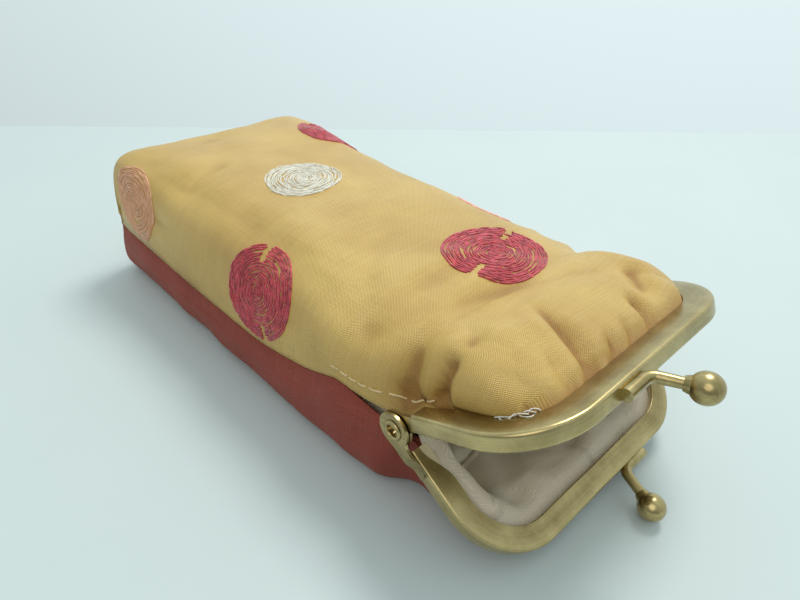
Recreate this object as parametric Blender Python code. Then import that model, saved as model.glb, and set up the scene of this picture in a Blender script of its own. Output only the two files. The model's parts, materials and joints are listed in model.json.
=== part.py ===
"""Soft pouch glasses case with a kiss-lock frame, open on a table.

The pouch is two quilted panels sewn along their sides and closed end. Its mouth is glued into
two U-shaped brass channels that turn on a hollow rivet at each side, and two crossed balls
lock the channels together. Everything is in metres: X across the case, Y from the mouth to
the closed end, Z up from the table.
"""

import math

import bmesh
import bpy
from mathutils import Matrix, Vector
from mathutils.bvhtree import BVHTree

# frame
FRAME_WIDTH = 0.085
ARM_LENGTH = 0.0399
CORNER_RADIUS = 0.0183
CHANNEL_HEIGHT = 0.0042
SHEET = 0.0007
OUTER_FLANGE = 0.0070
MATING_FLANGE = 0.0055
MATE_GAP = 0.00015
EDGE_ROUND = 0.0007
FLANGE_START = 0.0062
HINGE_HEIGHT = 0.0282
UPPER_TILT = math.radians(25.1)
CORNER_STEPS = 7

# ears and rivets
EAR_RADIUS = 0.0044
EAR_HOLE = 0.0021
EAR_THICK = 0.0007
UPPER_EAR_X = 0.0421
LOWER_EAR_X = 0.04315
JOGGLE = (0.0098, 0.0072)
RIVET_BARREL = 0.0019
RIVET_BORE = 0.0016
RIVET_FLANGE = 0.0025
RIVET_ROLL = 0.00035

# clasp
BALL_RADIUS = 0.0035
STEM_RADIUS = 0.0012
STEM_END_X = 0.016
STEM_BEND_X = 0.0068
STEM_HEIGHT = 0.0018
BALL_X = 0.0036
BALL_REACH = 0.0107
BALL_DROP = 0.0012

# pouch
GAP = 0.00025
POUCH_LENGTH = 0.153
HALF_WIDTH = 0.042
CLOTH = 0.00045
WADDING = 0.0014
LINING = 0.00025
EDGE_INSET = 0.0040
FLAT_BORDER = 0.0035
DOME_POWER = 2.6
SIDE_RISE = {"front": 0.0080, "back": 0.0050}
BAR_RISE = 0.0240
END_WALL = 0.0110
END_POWER = {"front": 7.0, "back": 7.0}
BOTTOM_SPARE = 1.04
# past the channel, the front's cloth leaves square to the frame and the back's hangs down
HANG_START = 0.0012
HANG = {"front": 1.0, "back": 0.1}
OPENING_ANGLE = math.radians(20)

# along the pouch: (distance from the hinge, height of the seam or of the open side edge)
SEAM = [(0.022, 0.0277), (0.037, 0.0223), (0.062, 0.0182), (0.100, 0.0177), (0.153, 0.0189)]
OPEN_EDGE = {"front": (0.008, 0.0309), "back": (0.008, 0.0249)}
CROWN = [
    (0.000, 0.0150),
    (0.014, 0.0165),
    (0.024, 0.0190),
    (0.037, 0.0240),
    (0.062, 0.0288),
    (0.100, 0.0292),
    (0.153, 0.0282),
]
DOMES = {
    "front": [(-0.0320, 0.0070), (-0.0200, 0.0105), (-0.0058, 0.0130)],
    "back": [(-0.0320, 0.0060), (-0.0200, 0.0125), (-0.0135, 0.0175), (-0.0058, 0.0232)],
}
POWERS = {
    "front": [(0.000, 4.0), (0.037, 4.0), (0.100, 4.6), (0.153, 8.5)],
    "back": [(0.000, 9.0), (0.040, 10.5), (0.153, 11.0)],
}
WIDTHS = [(-0.0058, 0.0385), (0.008, 0.0405), (0.024, 0.0420), (0.153, 0.0420)]

# grid of each panel: steps in the frame's corner, then across or along
RIM_STEPS = [0.0, FLAT_BORDER, 0.0048, 0.0068, 0.0100, CORNER_RADIUS - EDGE_INSET]
MIDDLE_STEPS = 2
ROWS = [-0.0135, -0.0058, -0.0030, -0.0008, 0.0015, 0.0045, 0.0080, 0.0140, 0.0200, 0.0260]
ROWS += [0.0370, 0.0620, 0.1000, 0.1250]
END_STEPS = 5
BLEND = {"front": (-0.0058, 0.014), "back": (-0.0058, 0.0100)}
WADDING_START = 0.016

# embroidered spots: centre across, centre along, centre height, radius across, radius along
SPOTS = {
    "spot_crimson_side": (-0.0406, 0.0575, 0.0350, 0.0138, 0.0138, "crimson"),
    "spot_crimson_mouth": (0.0070, 0.0150, 0.0468, 0.0138, 0.0142, "crimson"),
    "spot_crimson_corner": (0.0340, 0.1185, 0.0443, 0.0130, 0.0130, "crimson"),
    "spot_silver": (-0.0050, 0.0845, 0.0468, 0.0122, 0.0115, "silver"),
    "spot_peach": (-0.0406, 0.1320, 0.0360, 0.0125, 0.0130, "peach"),
    "spot_pink": (0.0400, 0.0430, 0.0353, 0.0135, 0.0135, "pink"),
}
SPOT_THICK = 0.0005
SPOT_GAP = 0.0010
STITCH_RADIUS = 0.0003
STITCH_INSET = 0.0018
STITCH_ROWS = (0.0015, 0.0045, 0.0080, 0.0140, 0.0200)

COLOURS = {
    "gold_silk": ((0.66, 0.44, 0.18), 0.45, 0.0),
    "coral_silk": ((0.42, 0.09, 0.055), 0.60, 0.0),
    "cream_satin": ((0.62, 0.55, 0.47), 0.40, 0.0),
    "wadding": ((0.80, 0.78, 0.74), 0.95, 0.0),
    "paper": ((0.62, 0.52, 0.38), 0.90, 0.0),
    "antique_brass": ((0.42, 0.34, 0.17), 0.32, 1.0),
    "crimson": ((0.50, 0.03, 0.08), 0.45, 0.0),
    "silver": ((0.72, 0.68, 0.60), 0.40, 0.0),
    "peach": ((0.62, 0.28, 0.15), 0.45, 0.0),
    "pink": ((0.72, 0.28, 0.22), 0.45, 0.0),
    "thread": ((0.80, 0.62, 0.36), 0.50, 0.0),
}

# the lower half rests on its ball
BALL_ARM = math.hypot(ARM_LENGTH + BALL_REACH, BALL_DROP)
LOWER_TILT = math.asin((HINGE_HEIGHT - BALL_RADIUS) / BALL_ARM)
LOWER_TILT += math.asin(BALL_DROP / BALL_ARM)
TILT = {"front": UPPER_TILT, "back": -LOWER_TILT}
SIGN = {"front": 1, "back": -1}
CLOTH_HEIGHT = CHANNEL_HEIGHT - SHEET - GAP
FRONT_END = (ARM_LENGTH + BALL_REACH) * math.cos(UPPER_TILT) + BALL_RADIUS
FRONT_END += BALL_DROP * math.sin(UPPER_TILT)
MIDDLE_Y = (POUCH_LENGTH - FRONT_END) / 2


def clear_scene():
    for obj in list(bpy.data.objects):
        bpy.data.objects.remove(obj)


def material(name):
    found = bpy.data.materials.get(name)
    if found:
        return found
    colour, roughness, metallic = COLOURS[name]
    made = bpy.data.materials.new(name)
    made.use_nodes = True
    shader = made.node_tree.nodes["Principled BSDF"]
    shader.inputs["Base Color"].default_value = (*colour, 1)
    shader.inputs["Roughness"].default_value = roughness
    shader.inputs["Metallic"].default_value = metallic
    return made


def to_object(bm, name, colour, parent=None):
    """Makes an object of a bmesh whose points are in world space, under its parent."""
    bmesh.ops.remove_doubles(bm, verts=bm.verts, dist=1e-7)
    bmesh.ops.recalc_face_normals(bm, faces=bm.faces)
    if bm.calc_volume(signed=True) < 0:
        bmesh.ops.reverse_faces(bm, faces=bm.faces)
    mesh = bpy.data.meshes.new(name)
    bm.to_mesh(mesh)
    bm.free()
    mesh.materials.append(material(colour))
    mesh.shade_smooth()
    mesh.set_sharp_from_angle(angle=math.radians(35))
    obj = bpy.data.objects.new(name, mesh)
    bpy.context.collection.objects.link(obj)
    if parent:
        mesh.transform(parent.matrix_world.inverted())
        obj.parent = parent
    return obj


def hinge_empty(name, tilt):
    """An empty on the rivets' axis, turned so that its -Y runs along the half's arms."""
    empty = bpy.data.objects.new(name, None)
    bpy.context.collection.objects.link(empty)
    place = Matrix.Translation((0, -MIDDLE_Y, HINGE_HEIGHT))
    empty.matrix_world = place @ Matrix.Rotation(-tilt, 4, "X")
    bpy.context.view_layer.update()
    return empty


# ---- helpers for curves ----


def eased(low, high, value):
    share = min(1, max(0, (value - low) / (high - low)))
    return share * share * (3 - 2 * share)


def mixed(a, b, share):
    return a + (b - a) * share


def through(knots, at):
    """A smooth curve through (place, value) knots that doesn't overshoot."""
    if at <= knots[0][0]:
        return knots[0][1]
    if at >= knots[-1][0]:
        return knots[-1][1]
    rises = [(b[1] - a[1]) / (b[0] - a[0]) for a, b in zip(knots, knots[1:])]
    slopes = [rises[0]]
    for before, after in zip(rises, rises[1:]):
        slopes.append(0 if before * after <= 0 else 2 * before * after / (before + after))
    slopes.append(0)
    i = max(k for k in range(len(rises)) if knots[k][0] <= at)
    length = knots[i + 1][0] - knots[i][0]
    t = (at - knots[i][0]) / length
    start = (2 * t**3 - 3 * t**2 + 1) * knots[i][1] + (t**3 - 2 * t**2 + t) * slopes[i] * length
    end = (3 * t**2 - 2 * t**3) * knots[i + 1][1] + (t**3 - t**2) * slopes[i + 1] * length
    return start + end


def bulge(share, power):
    """(across, up) of a quarter of a superellipse; share 0 is its foot, 1 is its crown."""
    angle = share * math.pi / 2
    return math.cos(angle) ** (2 / power), math.sin(angle) ** (2 / power)


# ---- the pouch's surfaces ----


def frame_line(side, along):
    """(y, z) on the cloth's level in the frame, along metres from the hinge."""
    tilt, level = TILT[side], SIGN[side] * CLOTH_HEIGHT
    y = -along * math.cos(tilt) + level * math.sin(tilt)
    z = HINGE_HEIGHT + along * math.sin(tilt) + level * math.cos(tilt)
    return y, z


def edge_line(side, along):
    """(y, z) of the panel's edge: in the frame where along < 0, then the open side, then the seam."""
    start, (open_at, open_height) = WIDTHS[0][0], OPEN_EDGE[side]
    if along <= start:
        return frame_line(side, -along)
    first = frame_line(side, -start)
    seam_gap = SIGN[side] * GAP / 2
    if along >= SEAM[0][0]:
        return along, through(SEAM, along) + seam_gap
    heights = [(start, first[1]), (open_at, open_height), (SEAM[0][0], SEAM[0][1] + seam_gap)]
    y = mixed(first[0], open_at, (along - start) / (open_at - start)) if along < open_at else along
    return y, through(heights, along)


def across_steps():
    """Distance of each grid line from the panel's edge in the mouth, edge to middle."""
    inner = HALF_WIDTH_MOUTH - RIM_STEPS[-1]
    return RIM_STEPS + [RIM_STEPS[-1] + inner * (i + 1) / MIDDLE_STEPS for i in range(MIDDLE_STEPS)]


HALF_WIDTH_MOUTH = WIDTHS[0][1]
COLUMNS = 2 * (len(RIM_STEPS) - 1 + MIDDLE_STEPS)
MOUTH_ROWS = [-(ARM_LENGTH - EDGE_INSET) + step for step in RIM_STEPS]
ALONG = MOUTH_ROWS + ROWS + [POUCH_LENGTH - END_WALL]


def panel_point(side, column, row, depth, squeeze):
    """A point of a panel. column 0..COLUMNS crosses it, row runs from the bar to the closed end.

    depth is how far it lies inside the outer surface in the body, squeeze how far in the frame.
    """
    half = COLUMNS // 2
    hand, line = (-1, column) if column <= half else (1, COLUMNS - column)
    ending = max(0, row - (len(ALONG) - 1))
    along = ALONG[min(row, len(ALONG) - 1)]
    share = eased(*BLEND[side], along)
    # in the mouth: flat in the channel, then a dome; concentric round the frame's corners
    inset = across_steps()[line]
    reach = RIM_STEPS[-1]
    from_bar = along + ARM_LENGTH - EDGE_INSET
    x_mouth = HALF_WIDTH_MOUTH - inset
    place = along
    if inset < reach and from_bar < reach:
        a, b = 1 - inset / reach, 1 - from_bar / reach
        top = max(a, b)
        angle = math.pi / 4 * (b / a if a >= b else 2 - a / b)
        x_mouth = HALF_WIDTH_MOUTH - reach + top * reach * math.cos(angle)
        place = -(ARM_LENGTH - EDGE_INSET - reach + top * reach * math.sin(angle))
    # the dome rises from the channel's slot, quickly at the arms and slowly at the bar
    flat = FLAT_BORDER + 2.2 * squeeze
    up_mouth = through(DOMES[side], along)
    for room, reach in ((across_steps()[line], SIDE_RISE[side]), (from_bar, BAR_RISE)):
        rise = min(1, max(0, (room - flat) / reach))
        up_mouth *= (1 - (1 - rise) ** DOME_POWER) ** (1 / DOME_POWER)
    up_mouth -= squeeze
    # in the body: a superellipse from the seam to the crown
    out, up = bulge(line / half, through(POWERS[side], along))
    x_body = (through(WIDTHS, along) - depth) * out
    y, z = edge_line(side, place)
    crown = through(CROWN, along) if side == "front" else z * BOTTOM_SPARE
    up_body = (crown - depth) * up
    x = mixed(x_mouth, x_body, share)
    height = mixed(up_mouth, up_body, share)
    lean = TILT[side] * (1 - share)
    if ending:
        end_out, end_up = bulge(1 - ending / END_STEPS, END_POWER[side])
        y += (END_WALL - depth) * end_out
        height *= end_up
        corner = (abs(x) / HALF_WIDTH) ** 8 * end_out
        y -= 0.003 * corner
        x *= 1 - 0.015 * end_out
    near = min(height, HANG_START)
    for part, turn in ((near, lean), (height - near, lean * HANG[side])):
        y += SIGN[side] * part * math.sin(turn)
        z += SIGN[side] * part * math.cos(turn)
    if side == "back":
        z = max(z, depth if share > 0 else squeeze)
    return Vector((hand * x, y - MIDDLE_Y, z))


def add_surface(bm, side, depth, squeeze, first_row=0):
    rows = len(ALONG) - 1 + END_STEPS - first_row
    grid = bmesh.ops.create_grid(bm, x_segments=COLUMNS, y_segments=rows, size=0.5)
    for vert in grid["verts"]:
        column = round((vert.co.x + 0.5) * COLUMNS)
        row = first_row + round((vert.co.y + 0.5) * rows)
        vert.co = panel_point(side, column, row, depth, squeeze)


def panel_shell(side, depth, thick, squeeze, first_row=0):
    """A closed shell between two depths of a panel."""
    bm = bmesh.new()
    add_surface(bm, side, depth, squeeze, first_row)
    add_surface(bm, side, depth + thick, squeeze + thick, first_row)
    rim = [edge for edge in bm.edges if edge.is_boundary]
    bmesh.ops.bridge_loops(bm, edges=rim)
    bmesh.ops.recalc_face_normals(bm, faces=bm.faces)
    return bm


def kept(bm, angle, keep_mouth, shift):
    """Cuts a copy of a shell with a plane through the hinge axis, leaning angle from upright."""
    copy = bm.copy()
    normal = Vector((0, math.cos(angle), math.sin(angle)))
    if not keep_mouth:
        normal = -normal
    point = Vector((0, -MIDDLE_Y, HINGE_HEIGHT)) - normal * shift
    geometry = copy.verts[:] + copy.edges[:] + copy.faces[:]
    bmesh.ops.bisect_plane(
        copy, geom=geometry, dist=1e-7, plane_co=point, plane_no=normal, clear_outer=True
    )
    bmesh.ops.holes_fill(copy, edges=[e for e in copy.edges if e.is_boundary], sides=0)
    return copy


def make_front(upper):
    """The gold front: body, mouth and the fold between them, with its wadding and lining."""
    lining_depth = CLOTH + GAP + WADDING + GAP
    layers = {
        "front_panel": (0.0, CLOTH, 0.0, "gold_silk"),
        "front_lining": (lining_depth, LINING, CLOTH + GAP, "cream_satin"),
    }
    for name, (depth, thick, squeeze, colour) in layers.items():
        whole = panel_shell("front", depth, thick, squeeze)
        to_object(kept(whole, 0, False, GAP / 2), name, colour)
        fold = kept(kept(whole, 0, True, GAP / 2), OPENING_ANGLE, False, GAP / 2)
        to_object(fold, name + "_fold", colour)
        to_object(kept(whole, OPENING_ANGLE, True, GAP / 2), name + "_mouth", colour, upper)
        whole.free()
    first = len(MOUTH_ROWS) + sum(place < WADDING_START for place in ROWS)
    wadding = panel_shell("front", CLOTH + GAP, WADDING, 0.0, first)
    to_object(wadding, "front_wadding", "wadding")


def make_back(lower):
    """The coral back, the same way; closing only moves its mouth away from its body."""
    lining_depth = CLOTH + GAP + WADDING + GAP
    layers = {
        "back_panel": (0.0, CLOTH, 0.0, "coral_silk"),
        "back_lining": (lining_depth, LINING, CLOTH + GAP, "cream_satin"),
    }
    for name, (depth, thick, squeeze, colour) in layers.items():
        whole = panel_shell("back", depth, thick, squeeze)
        to_object(kept(whole, 0, False, GAP / 2), name, colour)
        to_object(kept(whole, 0, True, GAP / 2), name + "_mouth", colour, lower)
        whole.free()
    first = len(MOUTH_ROWS) + sum(place < WADDING_START for place in ROWS)
    wadding = panel_shell("back", CLOTH + GAP, WADDING, 0.0, first)
    to_object(wadding, "back_wadding", "wadding")


def front_tree():
    """The front panel's outer surface, to lay things on."""
    bm = bmesh.new()
    add_surface(bm, "front", 0.0, 0.0)
    bmesh.ops.triangulate(bm, faces=bm.faces)
    tree = BVHTree.FromBMesh(bm)
    bm.free()
    return tree


def make_spots(tree):
    """Embroidered spots: thin discs laid over the front panel."""
    for name, (x, y, z, wide, long, colour) in SPOTS.items():
        centre, normal, _, _ = tree.find_nearest(Vector((x, y - MIDDLE_Y, z)))
        across = Vector((0, 1, 0)).cross(normal).normalized()
        forward = normal.cross(across)
        bm = bmesh.new()
        for lift in (SPOT_GAP, SPOT_GAP + SPOT_THICK):
            disc = bmesh.ops.create_grid(bm, x_segments=8, y_segments=8, size=1)
            for vert in disc["verts"]:
                a, b = vert.co.x, vert.co.y
                right, up = a * math.sqrt(1 - b * b / 2), b * math.sqrt(1 - a * a / 2)
                flat = centre + across * right * wide + forward * up * long
                place, out, _, _ = tree.find_nearest(flat)
                vert.co = place + out * lift
        rim = [edge for edge in bm.edges if edge.is_boundary]
        bmesh.ops.bridge_loops(bm, edges=rim)
        to_object(bm, name, colour)


def make_topstitch(tree, hand):
    """The thread sewn along the edge of the front panel where the side is open."""
    rows = [ALONG.index(place) for place in STITCH_ROWS]
    route = []
    for row in rows:
        edge, inner = (
            panel_point("front", column if hand < 0 else COLUMNS - column, row, 0.0, 0.0)
            for column in (0, 1)
        )
        place, out, _, _ = tree.find_nearest(edge + (inner - edge).normalized() * STITCH_INSET)
        route.append(place + out * (STITCH_RADIUS + 2 * GAP))
    name = "topstitch_left" if hand < 0 else "topstitch_right"
    return tube(name, route, STITCH_RADIUS, "thread")


def tube(name, route, radius, colour):
    """A round tube with flat ends along a list of points."""
    curve = bpy.data.curves.new(name, "CURVE")
    curve.dimensions = "3D"
    spline = curve.splines.new("POLY")
    spline.points.add(len(route) - 1)
    for point, place in zip(spline.points, route):
        point.co = (*place, 1)
    curve.bevel_depth = radius
    curve.bevel_resolution = 3
    curve.use_fill_caps = True
    curve.materials.append(material(colour))
    obj = bpy.data.objects.new(name, curve)
    bpy.context.collection.objects.link(obj)
    return obj


# ---- the frame ----


def u_path(inset):
    """(place, inward) along a half's outline, inset from its outside: arm, corner, bar, corner, arm."""
    half, centre_y = FRAME_WIDTH / 2, -(ARM_LENGTH - CORNER_RADIUS)
    radius = CORNER_RADIUS
    found = [(Vector((-half, -FLANGE_START, 0)), Vector((1, 0, 0)))]
    for hand in (-1, 1):
        for step in range(CORNER_STEPS + 1):
            turn = math.pi / 2 * step / CORNER_STEPS
            if hand > 0:
                turn = math.pi / 2 - turn
            out = Vector((hand * math.cos(turn), -math.sin(turn), 0))
            centre = Vector((hand * (half - radius), centre_y, 0))
            found.append((centre + out * radius, -out))
    found.append((Vector((half, -FLANGE_START, 0)), Vector((-1, 0, 0))))
    return [(place + inward * inset, inward) for place, inward in found]


def swept(profile, sign):
    """Sweeps a closed (inset, height) profile round the U of a half, in the half's own space."""
    bm = bmesh.new()
    first = None
    for place, inward in u_path(0):
        ring = []
        for inset, height in profile:
            ring.append(bm.verts.new(place + inward * inset + Vector((0, 0, sign * height))))
        edges = [bm.edges.new((ring[i - 1], ring[i])) for i in range(len(ring))]
        if first:
            bmesh.ops.bridge_loops(bm, edges=last + edges)
        first = first or edges
        last = edges
    bmesh.ops.contextual_create(bm, geom=first)
    bmesh.ops.contextual_create(bm, geom=last)
    bmesh.ops.recalc_face_normals(bm, faces=bm.faces)
    return bm


def channel_profile():
    low, top, cut = MATE_GAP, CHANNEL_HEIGHT, EDGE_ROUND * 0.6
    return [
        (MATING_FLANGE, low),
        (cut, low),
        (0, low + cut),
        (0, top - cut),
        (cut, top),
        (OUTER_FLANGE, top),
        (OUTER_FLANGE, top - SHEET),
        (SHEET, top - SHEET),
        (SHEET, low + SHEET),
        (MATING_FLANGE, low + SHEET),
    ]


def plate(points, low, high):
    """A flat plate drawn by (x, y) points, from one height to another."""
    bm = bmesh.new()
    face = bm.faces.new([bm.verts.new((x, y, low)) for x, y in points])
    made = bmesh.ops.extrude_face_region(bm, geom=[face])
    for item in made["geom"]:
        if isinstance(item, bmesh.types.BMVert):
            item.co.z = high
    bmesh.ops.recalc_face_normals(bm, faces=bm.faces)
    return bm


def disc_along_x(radius, x_low, x_high, segments):
    bm = bmesh.new()
    bmesh.ops.create_cone(
        bm,
        cap_ends=True,
        segments=segments,
        radius1=radius,
        radius2=radius,
        depth=x_high - x_low,
        matrix=Matrix.Translation(((x_low + x_high) / 2, 0, 0))
        @ Matrix.Rotation(math.pi / 2, 4, "Y"),
    )
    return bm


def joined(parts, cutters, name):
    """Unites closed bmeshes and cuts others from them, and gives back the result as a bmesh."""
    def helper(bm, label):
        mesh = bpy.data.meshes.new(label)
        bm.to_mesh(mesh)
        bm.free()
        obj = bpy.data.objects.new(label, mesh)
        bpy.context.collection.objects.link(obj)
        obj.hide_render = True
        obj.display_type = "WIRE"
        return obj

    helpers = [helper(bm, f"{name}_piece") for bm in parts]
    base = helpers[0]
    cuts = [helper(bm, f"{name}_cutter") for bm in cutters]
    for kind, others in (("UNION", helpers[1:]), ("DIFFERENCE", cuts)):
        for other in others:
            step = base.modifiers.new(kind.lower(), "BOOLEAN")
            step.operation = kind
            step.solver = "EXACT"
            step.object = other
    graph = bpy.context.evaluated_depsgraph_get()
    result = bmesh.new()
    result.from_mesh(base.evaluated_get(graph).to_mesh())
    for obj in helpers + cuts:
        bpy.data.objects.remove(obj)
    return result


def ear_parts(hand, ear_x, joggled, sign):
    """A round ear on the hinge axis and the neck that joins it to the channel's web."""
    low, high = ear_x - EAR_THICK / 2, ear_x + EAR_THICK / 2
    x_low, x_high = (low, high) if hand > 0 else (-high, -low)
    disc = disc_along_x(EAR_RADIUS, x_low, x_high, 28)
    web_low = FRAME_WIDTH / 2 - SHEET + 0.00008
    web_high = FRAME_WIDTH / 2 - 0.00008
    root = FLANGE_START + 0.004
    if joggled:
        root = JOGGLE[0] + 0.002
        outline = [
            (web_low, -root),
            (web_low, -JOGGLE[0]),
            (low, -JOGGLE[1]),
            (low, 0),
            (high, 0),
            (high, -JOGGLE[1]),
            (web_high, -JOGGLE[0]),
            (web_high, -root),
        ]
    else:
        outline = [(web_low, -root), (low, 0), (high, 0), (web_high, -root)]
    outline = [(hand * x, y) for x, y in outline]
    bottom, top = MATE_GAP + 0.0001, EAR_RADIUS * 0.86
    return disc, plate(outline, sign * bottom, sign * top)


def make_frame_half(side, empty):
    """One brass channel with its two ears."""
    sign = SIGN[side]
    parts, cutters = [swept(channel_profile(), sign)], []
    ear_x = UPPER_EAR_X if side == "front" else LOWER_EAR_X
    for hand in (-1, 1):
        parts += ear_parts(hand, ear_x, side == "back", sign)
        span = (0.040, 0.046) if hand > 0 else (-0.046, -0.040)
        cutters.append(disc_along_x(EAR_HOLE, *span, 24))
    name = "upper_frame" if side == "front" else "lower_frame"
    bm = joined(parts, cutters, name)
    bm.transform(empty.matrix_world)
    to_object(bm, name, "antique_brass", empty)


def make_packing(side, empty):
    """Twisted paper cord, pressed flat, that wedges the cloth in the channel."""
    low = MATE_GAP + SHEET + GAP
    high = CLOTH_HEIGHT - CLOTH - GAP - LINING - GAP
    inner = SHEET + GAP
    outer = EDGE_INSET + FLAT_BORDER * 0.3
    profile = [(outer, low), (inner, low), (inner, high), (outer, high)]
    bm = swept(profile, SIGN[side])
    bm.transform(empty.matrix_world)
    name = "upper_packing_cord" if side == "front" else "lower_packing_cord"
    to_object(bm, name, "paper", empty)


def make_clasp(side, empty):
    """A bent stem soldered to the bar, and its ball; the lower one is the upper turned over."""
    sign = SIGN[side]
    name = "upper" if side == "front" else "lower"
    off = -(ARM_LENGTH + STEM_RADIUS + GAP)
    ball = Vector((-BALL_X, -(ARM_LENGTH + BALL_REACH), -BALL_DROP))
    bend = Vector((-STEM_BEND_X, off, STEM_HEIGHT))
    tip = ball + (bend - ball).normalized() * (BALL_RADIUS + GAP)
    route = [
        Vector((-STEM_END_X, off, STEM_HEIGHT)),
        Vector((-STEM_BEND_X - 0.0016, off, STEM_HEIGHT)),
        mixed(bend, Vector((-STEM_BEND_X, off, STEM_HEIGHT)), 0.5) + Vector((-0.0004, -0.0002, 0)),
        bend + (ball - bend).normalized() * 0.0014,
        tip,
    ]
    route = [Vector((sign * place.x, place.y, sign * place.z)) for place in route]
    tube(name + "_clasp_stem", route, STEM_RADIUS, "antique_brass").parent = empty
    bm = bmesh.new()
    bmesh.ops.create_uvsphere(bm, u_segments=20, v_segments=12, radius=BALL_RADIUS)
    bm.transform(Matrix.Translation((sign * ball.x, ball.y, sign * ball.z)))
    bm.transform(empty.matrix_world)
    to_object(bm, name + "_clasp_ball", "antique_brass", empty)


def make_rivet(hand):
    """A hollow rivet: a tube through both ears with a rolled flange at each end."""
    inside = UPPER_EAR_X - EAR_THICK / 2 - 0.0003
    outside = LOWER_EAR_X + EAR_THICK / 2 + 0.0003
    profile = [
        (inside, RIVET_BARREL),
        (inside, RIVET_FLANGE),
        (inside - RIVET_ROLL, RIVET_FLANGE),
        (inside - RIVET_ROLL, RIVET_BORE),
        (outside + RIVET_ROLL, RIVET_BORE),
        (outside + RIVET_ROLL, RIVET_FLANGE),
        (outside, RIVET_FLANGE),
        (outside, RIVET_BARREL),
    ]
    bm = bmesh.new()
    ring = [bm.verts.new((hand * x, 0, radius)) for x, radius in profile]
    edges = [bm.edges.new((ring[i - 1], ring[i])) for i in range(len(ring))]
    bmesh.ops.spin(
        bm,
        geom=ring + edges,
        cent=(0, 0, 0),
        axis=(1, 0, 0),
        angle=2 * math.pi,
        steps=24,
        use_merge=True,
    )
    bm.transform(Matrix.Translation((0, -MIDDLE_Y, HINGE_HEIGHT)))
    to_object(bm, "rivet_left" if hand < 0 else "rivet_right", "antique_brass")


def main():
    clear_scene()
    upper = hinge_empty("upper_half", TILT["front"])
    lower = hinge_empty("lower_half", TILT["back"])
    make_front(upper)
    make_back(lower)
    tree = front_tree()
    make_spots(tree)
    for hand in (-1, 1):
        make_topstitch(tree, hand)
    for side, empty in (("front", upper), ("back", lower)):
        make_frame_half(side, empty)
        make_packing(side, empty)
        make_clasp(side, empty)
    for hand in (-1, 1):
        make_rivet(hand)


main()
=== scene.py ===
import json
import math
import random

import bmesh
import bpy
import numpy as np
from mathutils import Matrix, Vector


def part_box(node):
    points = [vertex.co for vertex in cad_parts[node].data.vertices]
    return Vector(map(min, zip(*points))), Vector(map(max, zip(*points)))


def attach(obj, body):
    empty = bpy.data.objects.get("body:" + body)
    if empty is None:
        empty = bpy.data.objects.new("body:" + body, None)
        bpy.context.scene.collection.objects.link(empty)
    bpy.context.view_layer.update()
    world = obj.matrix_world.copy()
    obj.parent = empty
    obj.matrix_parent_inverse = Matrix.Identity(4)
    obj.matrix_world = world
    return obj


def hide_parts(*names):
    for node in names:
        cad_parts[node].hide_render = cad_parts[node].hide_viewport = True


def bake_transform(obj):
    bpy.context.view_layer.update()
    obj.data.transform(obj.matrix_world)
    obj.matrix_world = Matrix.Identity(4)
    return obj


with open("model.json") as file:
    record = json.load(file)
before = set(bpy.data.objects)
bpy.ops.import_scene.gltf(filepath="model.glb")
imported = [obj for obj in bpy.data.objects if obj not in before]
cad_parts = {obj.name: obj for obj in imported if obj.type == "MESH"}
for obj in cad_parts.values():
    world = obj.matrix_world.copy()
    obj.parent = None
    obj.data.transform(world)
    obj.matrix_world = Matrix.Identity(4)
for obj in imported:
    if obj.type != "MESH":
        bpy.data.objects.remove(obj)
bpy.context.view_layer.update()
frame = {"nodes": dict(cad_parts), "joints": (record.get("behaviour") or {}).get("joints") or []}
hinge = np.array(frame["joints"][0]["pos_m"])


def linked(name, data):
    obj = bpy.data.objects.new(name, data)
    bpy.context.scene.collection.objects.link(obj)
    return obj


camera = {
    "place": (-0.11074, -0.11837, 0.12719),
    "right": (0.7227, -0.6900, 0.0414),
    "up": (0.3631, 0.4298, 0.8267),
    "back": (-0.5882, -0.5824, 0.5612),
    "lens": 27.38,
    "sensor": 36,
    "nearest": 0.005,
}


def makeCamera():
    data = bpy.data.cameras.new("camera")
    data.lens = camera["lens"]
    data.sensor_width = camera["sensor"]
    data.clip_start = camera["nearest"]
    view = linked("camera", data)
    rows = Matrix([camera["right"], camera["up"], camera["back"]])
    view.matrix_world = Matrix.Translation(camera["place"]) @ rows.transposed().to_4x4()
    bpy.context.scene.camera = view


def eased(low, high, value):
    share = np.clip((value - low) / (high - low), 0, 1)
    return share * share * (3 - 2 * share)


def between(value, rise, fall):
    # climbs from 0 to 1 over rise and drops back to 0 over fall
    return eased(*rise, value) * (1 - eased(*fall, value))


def mixed(a, b, share):
    return a + (b - a) * share


def through(knots, at):
    # a smooth curve through (place, value) knots that doesn't overshoot
    xs, ys = np.array(knots, float).T
    at = np.clip(at, xs[0], xs[-1])
    rises = np.diff(ys) / np.diff(xs)
    same = rises[:-1] * rises[1:]
    total = np.where(same > 0, rises[:-1] + rises[1:], 1)
    slopes = np.concatenate([rises[:1], np.where(same > 0, 2 * same / total, 0), [0]])
    i = np.clip(np.searchsorted(xs, at, side="right") - 1, 0, len(rises) - 1)
    length = xs[i + 1] - xs[i]
    t = (at - xs[i]) / length
    start = (2 * t**3 - 3 * t**2 + 1) * ys[i] + (t**3 - 2 * t**2 + t) * slopes[i] * length
    end = (3 * t**2 - 2 * t**3) * ys[i + 1] + (t**3 - t**2) * slopes[i + 1] * length
    return start + end


def bulge(share, power):
    # how far out and how far up a rounded wall is, from its foot (0) to its top (1)
    angle = share * math.pi / 2
    out = np.clip(np.cos(angle), 0, 1) ** (2 / power)
    return out, np.clip(np.sin(angle), 0, 1) ** (2 / power)


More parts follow.
